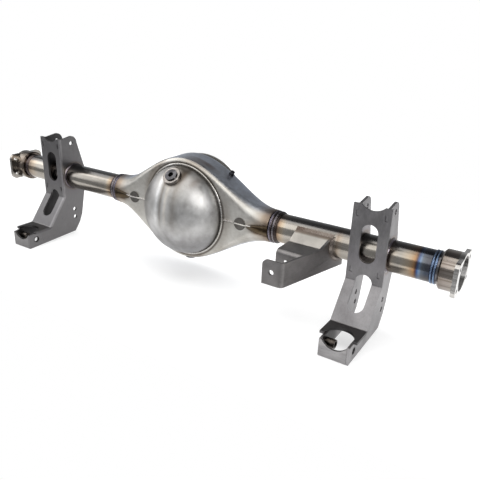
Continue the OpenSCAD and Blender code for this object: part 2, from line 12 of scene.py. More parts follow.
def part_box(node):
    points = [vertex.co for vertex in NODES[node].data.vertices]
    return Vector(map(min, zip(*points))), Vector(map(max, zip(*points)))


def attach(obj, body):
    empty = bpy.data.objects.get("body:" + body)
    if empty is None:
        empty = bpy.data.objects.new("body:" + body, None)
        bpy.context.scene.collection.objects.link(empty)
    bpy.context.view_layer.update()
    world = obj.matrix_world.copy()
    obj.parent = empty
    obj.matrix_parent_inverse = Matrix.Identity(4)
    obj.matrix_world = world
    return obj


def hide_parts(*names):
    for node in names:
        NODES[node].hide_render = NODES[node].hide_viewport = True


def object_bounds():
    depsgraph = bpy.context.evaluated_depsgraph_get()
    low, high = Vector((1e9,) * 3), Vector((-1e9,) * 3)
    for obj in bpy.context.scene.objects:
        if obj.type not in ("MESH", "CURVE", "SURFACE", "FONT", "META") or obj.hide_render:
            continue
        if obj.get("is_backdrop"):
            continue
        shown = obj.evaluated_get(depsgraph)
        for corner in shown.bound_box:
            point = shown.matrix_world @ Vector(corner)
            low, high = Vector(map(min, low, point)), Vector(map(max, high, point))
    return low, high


bl_info = {
    "name": "Axle Housing Looks",
    "version": (1, 0, 0),
    "blender": (4, 5, 0),
    "location": "3D Viewport > Sidebar > Axle Housing",
    "description": "Builds the detailed pieces and finishes of a welded rear axle housing",
    "category": "Object",
}

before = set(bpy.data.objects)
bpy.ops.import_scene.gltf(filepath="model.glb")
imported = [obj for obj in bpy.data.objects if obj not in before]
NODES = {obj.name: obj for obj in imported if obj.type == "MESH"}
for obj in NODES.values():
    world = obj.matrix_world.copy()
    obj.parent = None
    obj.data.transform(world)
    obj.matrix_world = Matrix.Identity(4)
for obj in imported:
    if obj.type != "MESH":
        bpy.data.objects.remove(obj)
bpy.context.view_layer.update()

MM = 0.001
FULL_TURN = 2 * np.pi
BODY = "root"
SIDES = (("left", -1), ("right", 1))
PLATES = [
    f"{side}_{part}"
    for side in ("left", "right")
    for part in ("bracket_face_plate", "bracket_outer_side", "bracket_inner_side", "foot_wall")
]

# How finely each surface is drawn
SIDE_SECTIONS, MOUTH_SECTIONS = 70, 121
WALL_POINTS, EDGE_POINTS, TOP_POINTS = 14, 21, 9
DOME_RINGS, DOME_STEPS = 56, 192
COVER_BEAD_STEPS, COVER_BEAD_POINTS = 1400, 13
RING_STEPS, RING_POINTS = 540, 60
FILLET_STEPS, FILLET_POINTS = 420, 14
SEAM_STEPS, SEAM_POINTS = 420, 9

# The pressed halves' edge radius at the sockets stays this much short of a full half round
EDGE_BLUNT = 0.6 * MM
# Brown mouth of each weld pocket: its start before the socket's end, its length, half width and drop
MOUTH_START, MOUTH_LENGTH, MOUTH_HALF, MOUTH_DROP = 62 * MM, 58 * MM, 15 * MM, 3 * MM
# Heat spots on the rear face: colour, share, then place and reach along X and Z in mm
HEAT_SPOTS = (
    ("8d7250", 0.5, 245, 2, 34, 16), ("66502f", 0.85, 238, -4, 24, 9),
    ("4c3826", 0.8, 236, -15, 15, 4), ("7a6248", 0.4, 252, 32, 8, 14),
)
# Heat bands at the sockets: colour, share, then start and full strength in mm before the socket's end
HEAT_BANDS = (("5d4e48", 0.7, 22, 2), ("94795c", 0.4, 55, 16))
# Colour inside the pressed halves and the dome
INSIDE = "8f8a82"

# The cover's weld starts this far inside the dome's rim, and grinding has left this share of its ripples
COVER_ROOT, GROUND_SHARE = 1.0 * MM, 0.3
# Beads of a tube collar: height share, start, width, power of the sine, and the stretch that each one holds
COLLAR_BEADS = (
    (0.93, 0.0, 0.42, 0.45, 0.0, 0.42),
    (0.8, 0.42, 0.4, 0.6, 0.42, 0.82),
    (0.25, 0.8, 0.2, 1.0, 0.82, 2.0),
)
# Heights over the tube where the ripples of a ring and of a fillet start and are full
RING_PROUD, FILLET_PROUD = (0.3 * MM, 1.5 * MM), (0.2 * MM, 2.0 * MM)
# Seam bead: half width, height, how far it runs into the pocket, and the run up to a disc
SEAM_HALF, SEAM_RISE, SEAM_INTO, SEAM_STEP_UP = 1.7 * MM, 1.1 * MM, 8 * MM, 2 * MM
# The seam bead wanders up and down by this much over this length
SEAM_WANDER, SEAM_WANDER_LENGTH = 0.5 * MM, 11 * MM

# Heat tints, darker plate, and painted light and shade along a measure in mm; each stop is (mm, hex, strength)
SOCKET_TINT = ((290, "4a3a30", 0.9), (297, "8a6a48", 0.7), (308, "c2a67e", 0.35), (322, "c2beb6", 0.0))
RIGHT_PLATES_TINT = (
    (448, "a08468", 0.0), (458, "7d6248", 0.5), (466, "b59a7c", 0.2), (474, "b59a7c", 0.0),
    (492, "a98d70", 0.0), (503, "7d6248", 0.6), (512, "a98d70", 0.0), (570, "a98d70", 0.0),
    (581, "7d6248", 0.6), (592, "b89c7c", 0.2), (606, "c8b89c", 0.0),
)
RIGHT_TUBE_TINT = (
    (612, "c8b89c", 0.0), (632, "b39a78", 0.5), (645, "9c7040", 0.85), (650, "4a3030", 0.95),
    (654, "2f5080", 0.95), (658, "5f7896", 0.9), (663, "4a5562", 0.9), (672, "343c4a", 0.95),
    (690, "2b3242", 0.95),
)
LEFT_TUBE_TINT = (
    (-690, "4c4038", 0.9), (-672, "6d5c4a", 0.8), (-655, "9c8468", 0.4), (-630, "b0a48f", 0.0),
    (-590, "a98d70", 0.0), (-571, "7d6248", 0.6), (-560, "a98d70", 0.0), (-505, "a98d70", 0.0),
    (-496, "8a5f50", 0.4), (-486, "a98d70", 0.0),
)
# Painted shade: a dark painted reflection along the tubes' tops and darker undersides, by height in mm
TUBE_PAINTED_SHADE = (
    (-38, "5d554c", 0.55), (-24, "6f665b", 0.4), (-8, "8a8176", 0.0), (26, "5a5e68", 0.0),
    (32, "454a55", 0.6), (38, "3f444e", 0.7),
)
END_TINT = (
    (687, "3a4258", 0.9), (698, "33323a", 0.8), (702, "5f4f40", 0.75), (716, "75655a", 0.65),
    (733, "7d7062", 0.6), (734.5, "c6c3bf", 0.8), (746, "c6c3bf", 0.8),
)
LEFT_END_TINT = (
    (-746, "8a847b", 0.75), (-735, "6f6961", 0.75), (-700, "5a4f44", 0.75), (-686, "5c4f43", 0.8),
    (-680, "5c4f43", 0.0),
)
# Painted light: the cups' bores painted pale, by distance in mm from the axle's line
BORE_PAINTED_LIGHT = ((30, "e8e6e4", 0.8), (40.4, "f0efee", 0.8), (41.2, "8a8784", 0.0), (60, "8a8784", 0.0))
# Painted reflections: dark bands across the bores' height in mm, with pale ones left between
BORE_PAINTED_REFLECTIONS = (
    (-40, "3a3836", 0.3), (-30, "1c1b1a", 0.85), (-22, "1c1b1a", 0.85), (-17, "f4f4f4", 0.0),
    (-2, "f4f4f4", 0.0), (3, "1c1b1a", 0.85), (22, "1c1b1a", 0.85), (30, "6b655f", 0.5),
    (40, "6b655f", 0.4), (44, "6b655f", 0.0),
)
NEAR_TUBE_TINT = ((38, "4a3f3a", 0.8), (45, "6b5a4c", 0.6), (52, "7f7880", 0.35), (64, "8a878a", 0.0))
# Painted shade low on the face plates, in the feet
FOOT_PAINTED_SHADE = ((-156, "343334", 0.7), (-145.2, "343334", 0.7), (-144.2, "343334", 0.0), (-130, "343334", 0.0))
# Painted shade round the bolt holes, by distance in mm from the bolt's line
BOLT_HOLE_SHADE = ((0, "171615", 0.95), (9.0, "171615", 0.95), (10.5, "4a4745", 0.0), (40, "4a4745", 0.0))
# Painted shade on the faces inside the right foot
FOOT_INSIDE_SHADE = ((0, "1a1918", 0.8), (48, "1f1e1d", 0.8), (70, "4a4745", 0.0), (90, "4a4745", 0.0))
BENT_TINT = ((38, "4a3a30", 0.8), (43, "7a634c", 0.5), (52, "9a958f", 0.0))
# Heat tint by the weld, then painted light: the cover's sloping roof painted pale, by distance in mm from the axle's
# line
WELD_TINT_AND_ROOF_LIGHT = (
    (38, "4a3a30", 0.8), (43, "8a745c", 0.5), (47, "e6e1d8", 0.7), (68, "e6e1d8", 0.7), (72, "868280", 0.0),
)
# Plates of the track bar bracket, each with its finish and tint
TRACK_PLATES = (
    ("track_bar_side_plate", "Bent steel plate", BENT_TINT), ("track_bar_cover", "Bent plate with painted roof light", WELD_TINT_AND_ROOF_LIGHT)
)
# Where the end cups begin along the axle, and the radius just outside their bore, in mm
CUP_START, BORE_EDGE = 705.0, 41.0

# Size in mm of the small dark pits; pits and grain are finer on real steel, and drawn coarse enough to show
PIT_SIZE = (1.6, 1.6, 1.6)
MIXED = {"data_type": "RGBA"}
MULTIPLIED = {"data_type": "RGBA", "blend_type": "MULTIPLY"}

# Soft boxes: name, place, target, size, power in watts, colour, and whether reflections or else matt surfaces see it
LIGHTS = (
    ("front_box", (0.1, -1.45, 1.65), (0.1, 0, 0), (3.4, 1.7), 30.0, (1.0, 0.995, 0.985), True),
    ("key_box", (1.95, -1.2, 1.3), (0, 0, 0), (1.0, 1.0), 22.0, (1.0, 0.995, 0.99), True),
    ("top_box", (-0.7, -0.3, 2.3), (-0.7, -0.3, 0), (2.4, 0.9), 11.0, (1.0, 0.99, 0.97), True),
    ("left_box", (-2.4, -0.3, 1.8), (-0.45, 0, 0), (1.7, 1.7), 14.0, (1.0, 0.99, 0.97), True),
    ("fill_box", (-2.2, -0.9, 0.9), (-0.3, 0, 0), (1.4, 1.4), 9.0, (0.97, 0.98, 1.0), True),
    ("paper_light", (0.0, 0.4, 3.2), (0.0, 0.4, 0), (5.0, 4.0), 260.0, (1.0, 1.0, 1.0), False),
)
# Floor: half width, front and back edge, and the gap under the part
FLOOR_HALF, FLOOR_FRONT, FLOOR_BACK, FLOOR_GAP = 1.7, -0.42, 1.1, 1 * MM
SENSOR_WIDTH = 36.0


def linear(hexa):
    """sRGB hex digits as a linear RGBA tuple."""
    c = np.array([int(hexa[i : i + 2], 16) for i in (0, 2, 4)]) / 255.0
    c = np.where(c <= 0.04045, c / 12.92, ((c + 0.055) / 1.055) ** 2.4)
    return (*c.tolist(), 1.0)


class CentreSettings(bpy.types.PropertyGroup):
    """Sizes of the pressed centre and its cover that no CAD box gives."""

    wall: bpy.props.FloatProperty(
        name="Wall", description="Wall of the pressed halves", default=5.0 * MM, unit="LENGTH"
    )
    edge: bpy.props.FloatProperty(
        name="Edge radius", description="Radius of the pressed edges at the crown", default=14.0 * MM, unit="LENGTH"
    )
    crown_x: bpy.props.FloatProperty(
        name="Crown place", description="Place of the crown's highest point along the axle", default=-8.0 * MM,
        unit="LENGTH"
    )
    bung_x: bpy.props.FloatProperty(
        name="Bung place", description="Sideways place of the filler bung", default=1.0 * MM, unit="LENGTH"
    )
    bung_z: bpy.props.FloatProperty(
        name="Bung height", description="Height of the filler bung", default=104.0 * MM, unit="LENGTH"
    )
    cover_r: bpy.props.FloatProperty(
        name="Cover opening", description="Radius of the opening behind the cover", default=126.0 * MM, unit="LENGTH"
    )
    carrier_r: bpy.props.FloatProperty(
        name="Carrier opening", description="Radius of the carrier opening", default=119.0 * MM, unit="LENGTH"
    )
    pocket_len: bpy.props.FloatProperty(
        name="Pocket length", description="Length of the sunk weld pockets", default=56.0 * MM, unit="LENGTH"
    )
    pocket_r: bpy.props.FloatProperty(
        name="Pocket radius", description="Half width of the weld pockets at the tube", default=9.0 * MM,
        unit="LENGTH"
    )
    pocket_depth: bpy.props.FloatProperty(
        name="Pocket depth", description="Depth of the weld pockets at the tube", default=3.0 * MM, unit="LENGTH"
    )


class WeldSettings(bpy.types.PropertyGroup):
    """Sizes of the weld beads."""

    ripple: bpy.props.FloatProperty(
        name="Ripple pitch", description="Distance from one ripple to the next", default=3.2 * MM, unit="LENGTH"
    )
    height: bpy.props.FloatProperty(
        name="Ripple height", description="Height of one ripple", default=0.3 * MM, unit="LENGTH"
    )


class FinishSettings(bpy.types.PropertyGroup):
    """Main colours of the steel, under its tints and stains."""

    pressed: bpy.props.FloatVectorProperty(
        name="Pressed steel", description="Flat faces of the pressed centre", default=linear("cbc9c4")[:3],
        subtype="COLOR"
    )
    crown: bpy.props.FloatVectorProperty(
        name="Crown", description="Mill slate on the top of the centre", default=linear("d2d9e6")[:3],
        subtype="COLOR"
    )
    dome: bpy.props.FloatVectorProperty(
        name="Dome", description="Upper part of the rear cover", default=linear("cccbca")[:3], subtype="COLOR"
    )
    tube: bpy.props.FloatVectorProperty(
        name="Tubes", description="Pale parts of the polished tubes", default=linear("aca79f")[:3], subtype="COLOR"
    )


class StageSettings(bpy.types.PropertyGroup):
    """Camera of the studio."""

    lens: bpy.props.FloatProperty(
        name="Lens", description="Focal length on a 36 mm sensor", default=41.76, subtype="DISTANCE_CAMERA"
    )
    azimuth: bpy.props.FloatProperty(
        name="Azimuth", description="Turn of the camera about the part", default=np.radians(32.43), subtype="ANGLE"
    )
    elevation: bpy.props.FloatProperty(
        name="Elevation", description="Height of the view above level", default=np.radians(22.06), subtype="ANGLE"
    )
    roll: bpy.props.FloatProperty(
        name="Roll", description="Turn of the picture about the view", default=np.radians(2.03), subtype="ANGLE"
    )
    place: bpy.props.FloatVectorProperty(
        name="Camera place", description="Where the camera stands", default=(0.9252, -1.2025, 0.5115), subtype="XYZ"
    )


def smooth_step(a, b, x):
    """0 up to a, 1 from b on, and a smooth cubic between; a may be the greater."""
    t = np.clip((x - a) / (b - a), 0.0, 1.0)
    return t * t * (3.0 - 2.0 * t)


def bell(distance, width):
    """A soft spot: 1 at no distance, falling off as the exponential of minus the square of distance over width."""
    return np.exp(-((distance / width) ** 2))


def rgb(hexa):
    """Linear RGB of hex digits as an array."""
    return np.array(linear(hexa)[:3])


def mix(a, b, t):
    """Colours a to b by the share t, for whole arrays."""
    t = np.asarray(t)[..., None]
    return np.asarray(a) * (1.0 - t) + np.asarray(b) * t


def paint_over(base, layers):
    """Lays colours over a base in order; each layer is its hex and an array of strengths."""
    for hexa, strength in layers:
        base = mix(base, rgb(hexa), strength)
    return base


def add(tree, kind, settings=None, inputs=None):
    """Adds one node, sets its properties, and sets or links its inputs."""
    node = tree.nodes.new(kind)
    for key, value in (settings or {}).items():
        setattr(node, key, value)
    for key, value in (inputs or {}).items():
        if isinstance(value, bpy.types.NodeSocket):
            tree.links.new(value, node.inputs[key])
        else:
            node.inputs[key].default_value = value
    return node


def new_material(name):
    """A new material with its tree, shader and object coordinates in millimetres."""
    material = bpy.data.materials.new(name)
    material.use_nodes = True
    tree = material.node_tree
    tree.nodes.clear()
    shader = add(tree, "ShaderNodeBsdfPrincipled")
    add(tree, "ShaderNodeOutputMaterial", None, {0: shader.outputs[0]})
    place = add(tree, "ShaderNodeTexCoord").outputs["Object"]
    place = add(tree, "ShaderNodeVectorMath", {"operation": "SCALE"}, {0: place, "Scale": 1.0 / MM}).outputs[0]
    return material, tree, shader, place


def mottle(tree, place, size, detail, roughness):
    """Cloudy pattern whose features measure size mm along X, Y and Z."""
    per_mm = tuple(1.0 / s for s in size)
    scaled = add(tree, "ShaderNodeVectorMath", {"operation": "MULTIPLY"}, {0: place, 1: per_mm}).outputs[0]
    inputs = {"Vector": scaled, "Scale": 1.0, "Detail": detail, "Roughness": roughness}
    return add(tree, "ShaderNodeTexNoise", None, inputs).outputs[0]


def tint_along(tree, value, low, high, stops):
    """Colour and strength of a tint along a value in mm; each stop is (mm, hex, strength)."""
    share = add(tree, "ShaderNodeMapRange", None, {0: value, 1: low, 2: high}).outputs[0]
    node = add(tree, "ShaderNodeValToRGB", None, {0: share})
    line = node.color_ramp
    while len(line.elements) < len(stops):
        line.elements.new(0.5)
    for element, (mm, hexa, strength) in zip(line.elements, stops):
        element.position = (mm - low) / (high - low)
        element.color = (*linear(hexa)[:3], strength)
    return node.outputs[0], node.outputs[1]


def plain_x(tree, place):
    """Place in mm along the axle."""
    return add(tree, "ShaderNodeSeparateXYZ", None, {0: place}).outputs[0]


def plain_z(tree, place):
    """Height in mm over the axle."""
    return add(tree, "ShaderNodeSeparateXYZ", None, {0: place}).outputs[2]


def half_x(tree, place):
    """Distance in mm from the middle of the axle."""
    return add(tree, "ShaderNodeMath", {"operation": "ABSOLUTE"}, {0: plain_x(tree, place)}).outputs[0]


def tube_distance(tree, place):
    """Distance in mm from the axle's line."""
    flat = add(tree, "ShaderNodeVectorMath", {"operation": "MULTIPLY"}, {0: place, 1: (0.0, 1.0, 1.0)})
    return add(tree, "ShaderNodeVectorMath", {"operation": "LENGTH"}, {0: flat.outputs[0]}).outputs["Value"]


def kept_within(tree, value, a, b, steep):
    """A value in mm where a is below b, and a large one elsewhere: the greater of it and a less b times steep."""
    past = add(tree, "ShaderNodeMath", {"operation": "SUBTRACT"}, {0: a, 1: b}).outputs[0]
    past = add(tree, "ShaderNodeMath", {"operation": "MULTIPLY"}, {0: past, 1: steep}).outputs[0]
    return add(tree, "ShaderNodeMath", {"operation": "MAXIMUM"}, {0: past, 1: value}).outputs[0]


def bore_radius(tree, place):
    """Distance in mm from the axle's line inside the cups, and large further in along the tubes."""
    return kept_within(tree, tube_distance(tree, place), CUP_START, half_x(tree, place), 100.0)


def bore_height(tree, place):
    """Height in mm on the cups' bores, and large elsewhere."""
    return kept_within(tree, plain_z(tree, place), bore_radius(tree, place), BORE_EDGE, 300.0)


def bare_steel(name, pale, dark, rough, grain, bump, tints=(), blotch=(70, 70, 70), rough_span=0.12, dull=None):
    """Bare metal with fine grain, broad blotches, small pits and heat tints.

    Colour runs from dark to pale with the blotches and the grain, tints lie over it, and roughness and bump follow the
    grain. Without a pale colour it comes from the piece's own paint, and dark is multiplied with it. A tint is a
    measure, its range in mm and its stops; dull is a measure, its range and the roughness that fades out there."""
    material, tree, shader, place = new_material(name)
    fine = mottle(tree, place, grain, 5.0, 0.6)
    broad = mottle(tree, place, blotch, 3.0, 0.5)
    specks = mottle(tree, place, PIT_SIZE, 2.0, 0.5)
    share = add(tree, "ShaderNodeMath", {"operation": "MULTIPLY_ADD"}, {0: fine, 1: 0.5, 2: broad}).outputs[0]
    share = add(tree, "ShaderNodeMapRange", None, {0: share, 1: 0.5, 2: 1.0}).outputs[0]
    dark = linear(dark)
    if pale is not None:
        pale = linear(pale) if isinstance(pale, str) else (*pale, 1.0)
    else:
        pale = add(tree, "ShaderNodeAttribute", {"attribute_name": "paint"}).outputs["Color"]
        dark = add(tree, "ShaderNodeMix", MULTIPLIED, {0: 1.0, 6: pale, 7: dark}).outputs[2]
    colour = add(tree, "ShaderNodeMix", MIXED, {0: share, 6: dark, 7: pale}).outputs[2]
    for measure, low, high, stops in tints:
        tint, strength = tint_along(tree, measure(tree, place), low, high, stops)
        patches = add(tree, "ShaderNodeMapRange", None, {0: broad, 1: 0.25, 2: 0.6, 3: 0.7, 4: 1.0}).outputs[0]
        broken = add(tree, "ShaderNodeMath", {"operation": "MULTIPLY"}, {0: strength, 1: patches}).outputs[0]
        colour = add(tree, "ShaderNodeMix", MIXED, {0: broken, 6: colour, 7: tint}).outputs[2]
    pits = add(tree, "ShaderNodeMapRange", None, {0: specks, 1: 0.68, 2: 0.8}).outputs[0]
    pitted = add(tree, "ShaderNodeMix", MULTIPLIED, {0: 1.0, 6: colour, 7: linear("8c8680")}).outputs[2]
    colour = add(tree, "ShaderNodeMix", MIXED, {0: pits, 6: colour, 7: pitted}).outputs[2]
    least, most = rough - rough_span / 2, rough + rough_span / 2
    shine = add(tree, "ShaderNodeMapRange", None, {0: fine, 1: 0.3, 2: 0.7, 3: least, 4: most}).outputs[0]
    if dull:
        measure, low, high, extra = dull
        ends = {0: measure(tree, place), 1: low, 2: high, 3: extra, 4: 0.0}
        more = add(tree, "ShaderNodeMapRange", None, ends).outputs[0]
        shine = add(tree, "ShaderNodeMath", {"operation": "ADD"}, {0: shine, 1: more}).outputs[0]
    bumped = add(tree, "ShaderNodeBump", None, {"Strength": bump, "Distance": 0.3 * MM, "Height": fine})
    tree.links.new(colour, shader.inputs["Base Color"])
    tree.links.new(shine, shader.inputs["Roughness"])
    tree.links.new(bumped.outputs[0], shader.inputs["Normal"])
    shader.inputs["Metallic"].default_value = 1.0
    return material


def put_material(obj, material):
    """Gives a piece or CAD node one material in all its slots."""
    if not obj.material_slots:
        obj.data.materials.append(material)
    for slot in obj.material_slots:
        slot.material = material


def soften(obj, width):
    """Rounds the sharp edges of a CAD node by modifiers only."""
    weld = obj.modifiers.new("weld", "WELD")
    weld.merge_threshold = 0.002 * MM
    bevel = obj.modifiers.new("soft_edges", "BEVEL")
    bevel.width = width
    bevel.segments = 2
    bevel.limit_method = "ANGLE"
    bevel.angle_limit = np.radians(40)
    bevel.harden_normals = True
    level = obj.modifiers.new("level_faces", "WEIGHTED_NORMAL")
    level.weight = 100


def make_piece(name, points, faces, material, replaces, paint):
    """A smooth mesh piece from whole arrays of points, faces and paint, riding on the part."""
    mesh = bpy.data.meshes.new(name)
    mesh.from_pydata(np.asarray(points).reshape(-1, 3).tolist(), [], faces)
    mesh.polygons.foreach_set("use_smooth", np.ones(len(mesh.polygons), bool))
    layer = mesh.color_attributes.new("paint", "FLOAT_COLOR", "POINT")
    colours = np.ones((len(mesh.vertices), 4), np.float32)
    colours[:, :3] = np.asarray(paint).reshape(-1, 3)
    layer.data.foreach_set("color", colours.ravel())
    mesh.update()
    piece = bpy.data.objects.new(name, mesh)
    bpy.context.scene.collection.objects.link(piece)
    put_material(piece, material)
    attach(piece, BODY)
    if replaces:
        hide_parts(*replaces)


def grid_faces(rows, columns, wrap_rows=False, flip=False):
    """Quads of a grid of points stored row by row; each row is closed on itself, and the rows may be too."""
    a, b = np.meshgrid(np.arange(rows if wrap_rows else rows - 1), np.arange(columns), indexing="ij")
    a2, b2 = (a + 1) % rows, (b + 1) % columns
    quads = np.stack([a * columns + b, a2 * columns + b, a2 * columns + b2, a * columns + b2], -1).reshape(-1, 4)
    return quads[:, ::-1].tolist() if flip else quads.tolist()


def swell(x, half_len, crown_x):
    """Share of the crown's rise: half a raised cosine from each socket to the crown's highest point."""
    reach = half_len - np.sign(x - crown_x) * crown_x
    return (1.0 + np.cos(np.pi * (x - crown_x) / reach)) / 2.0


def ripple(angle, count, height, seed):
    """Stacked ripples round a bead: a rounded saw wave whose pitch and height wander a little."""
    wander = 0.35 * np.sin(3.0 * angle + seed) + 0.25 * np.sin(7.0 * angle + 2.0 * seed)
    phase = count * angle + wander
    return height * (np.abs(np.sin(phase / 2.0)) - 0.6) * (1.0 + 0.3 * np.sin(5.0 * angle + seed))


class HOUSING_OT_centre(bpy.types.Operator):
    """Builds the two pressed halves of the centre as smooth shells"""

    bl_idname = "housing.centre"
    bl_label = "Pressed centre"

    def heat(self, base, x, y, z, pocket, length):
        """Heat tint and stains over the paint: soft spots and bands by the sockets, a brown mouth with a dark lip at
        each pocket, whose half width grows with the square root of the way along it, the sunk pocket painted dark as
        heat stain and painted shade, and rust on the crown."""
        end = np.abs(x)
        rear = y < 0
        layers = [
            (hexa, share * rear * bell(end - along * MM, wide * MM) * bell(z - height * MM, tall * MM))
            for hexa, share, along, height, wide, tall in HEAT_SPOTS
        ]
        layers += [
            (hexa, share * smooth_step(length - start * MM, length - full * MM, end))
            for hexa, share, start, full in HEAT_BANDS
        ]
        reach = np.clip((end - length + MOUTH_START) / MOUTH_LENGTH, 0.0, 1.0)
        mouth = np.abs(z + MOUTH_DROP) - MOUTH_HALF * np.sqrt(reach)
        near = rear * (reach > 0)
        rust = bell(end - 62 * MM, 20 * MM) * bell(y + 13 * MM, 9 * MM) * (x > 0) * (z > 0)
        layers += [
            ("5f5240", 0.8 * near * smooth_step(0.5 * MM, -2 * MM, mouth)),
            ("35291f", 0.85 * near * bell(mouth, 1.6 * MM)),
            # Heat stain and painted shade: the sunk pocket painted dark
            ("2f2519", 0.9 * pocket),
            ("6d4a30", 0.55 * rust),
        ]
        return paint_over(base, layers)

    def execute(self, context):
        """Section by section along the axle: a channel with rounded edges whose height is a raised cosine, cut by
        the round openings, and set in by the wall for its inside. The two lines form one closed ring of points."""
        s, colours = context.scene.housing_centre, context.scene.housing_finish
        length, depth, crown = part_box("center_upper_half")[1]
        side = np.linspace(s.cover_r, length, SIDE_SECTIONS)[1:]
        turn = s.cover_r * np.sin(np.linspace(-np.pi / 2, np.pi / 2, MOUTH_SECTIONS))
        x = np.concatenate([-side[::-1], turn, side])
        rise = swell(x, length, s.crown_x)
        height = depth + (crown - depth) * rise
        blunt = depth - EDGE_BLUNT
        edge = blunt + (s.edge - blunt) * (1.0 - (1.0 - rise) ** 3)
        flat_top = height - edge
        rear_low = np.sqrt(np.maximum(s.cover_r**2 - x**2, 0.0))
        front_low = np.sqrt(np.maximum(s.carrier_r**2 - x**2, 0.0))
        t = np.linspace(0, 1, WALL_POINTS)[:, None]
        a = np.linspace(0, np.pi / 2, EDGE_POINTS)[1:-1, None]
        u = np.linspace(0, 1, TOP_POINTS)[:, None]

        def line(inset):
            """Y and Z of the half section from the rear edge, over the crown, to the front edge."""
            y_wall, r = depth - inset, edge - inset
            rear = (-y_wall + 0 * t * x, rear_low + t * (flat_top - rear_low))
            rise_rear = (-(depth - edge) - r * np.cos(a), flat_top + r * np.sin(a))
            top = ((2 * u - 1) * (depth - edge), height - inset + 0 * u)
            fall_front = ((depth - edge) + r * np.sin(a), flat_top + r * np.cos(a))
            front = (y_wall + 0 * t * x, flat_top + t * (front_low - flat_top))
            parts = (rear, rise_rear, top, fall_front, front)
            return np.concatenate([p[0] for p in parts]).T, np.concatenate([p[1] for p in parts]).T

        y, z = line(0.0)
        # Weld pockets: a round groove that widens and deepens towards the socket
        along = np.maximum(np.abs(x) - (length - s.pocket_len), 0.0) / s.pocket_len
        radius = (s.pocket_r * along)[:, None]
        centre = (-depth - (s.pocket_r - s.pocket_depth) * along)[:, None]
        inside = (np.abs(z) < radius) & (y < 0)
        sunk = np.where(inside, centre + np.sqrt(np.maximum(radius**2 - z**2, 0.0)), y)
        pocket = np.clip((sunk - y) / (0.5 * MM), 0.0, 1.0) * inside
        y = np.maximum(y, sunk)
        y_in, z_in = line(s.wall)
        ring_y = np.concatenate([y, y_in[:, ::-1]], 1)
        ring_z = np.concatenate([z, z_in[:, ::-1]], 1)
        rows, columns = ring_y.shape
        j = np.arange(columns // 2 - 1)
        first = np.stack([j, j + 1, columns - 2 - j, columns - 1 - j], -1)
        last = first[:, ::-1] + (rows - 1) * columns
        quads = grid_faces(rows, columns) + first.tolist() + last.tolist()
        # Paint: slate on the crown, paler rear edges as a painted highlight, and round the cover's weld a dark line of
        # painted shade and a patchy stain
        lift = (z - flat_top[:, None]) / edge[:, None]
        crown_share = smooth_step(0.72, 0.98, lift)
        edge_highlight_share = smooth_step(0.05, 0.45, lift) * (1 - crown_share) * smooth_step(0.15, -0.15, y / depth)
        across = x[:, None] + 0 * z
        off_cover = np.hypot(across, z) - s.cover_r
        patchy = 0.5 + 0.5 * np.sin(across / (23 * MM))
        base = paint_over(mix(colours.pressed, colours.crown, crown_share), [
            ("e6e3dc", 0.5 * edge_highlight_share * smooth_step(0.2, 0.6, rise)[:, None]),
            # Painted shade: a dark line at the outer toe of the cover's weld
            ("4f463d", 0.85 * bell(off_cover - 8 * MM, 3 * MM) * (y < 0)),
            ("7a654f", 0.5 * bell(off_cover - 17 * MM, 9 * MM) * (y < 0) * patchy),
        ])
        # Pressed mild steel: satin and a little cloudy; its paint is brightest on the rear edges, a painted highlight
        pressed = bare_steel("Pressed bare steel", None, "cfccc8", 0.4, (9, 9, 9), 0.06)
        for name, sign in (("upper", 1), ("lower", -1)):
            colour = self.heat(base, across, y, sign * z, pocket, length)
            paint = np.concatenate([colour, np.broadcast_to(rgb(INSIDE), base.shape)], 1)
            points = np.stack([np.broadcast_to(x[:, None], ring_y.shape), ring_y, sign * ring_z], -1)
            faces = quads if sign > 0 else np.asarray(quads)[:, ::-1].tolist()
            make_piece(
                f"centre_{name}_shell", points, faces, pressed, (f"center_{name}_half",), paint
            )
        # Turned flange ring: even and fairly bright
        flange = bare_steel("Turned flange steel", "bdbab4", "8f8c88", 0.3, (3, 3, 3), 0.05)
        put_material(NODES["carrier_flange"], flange)
        return {"FINISHED"}


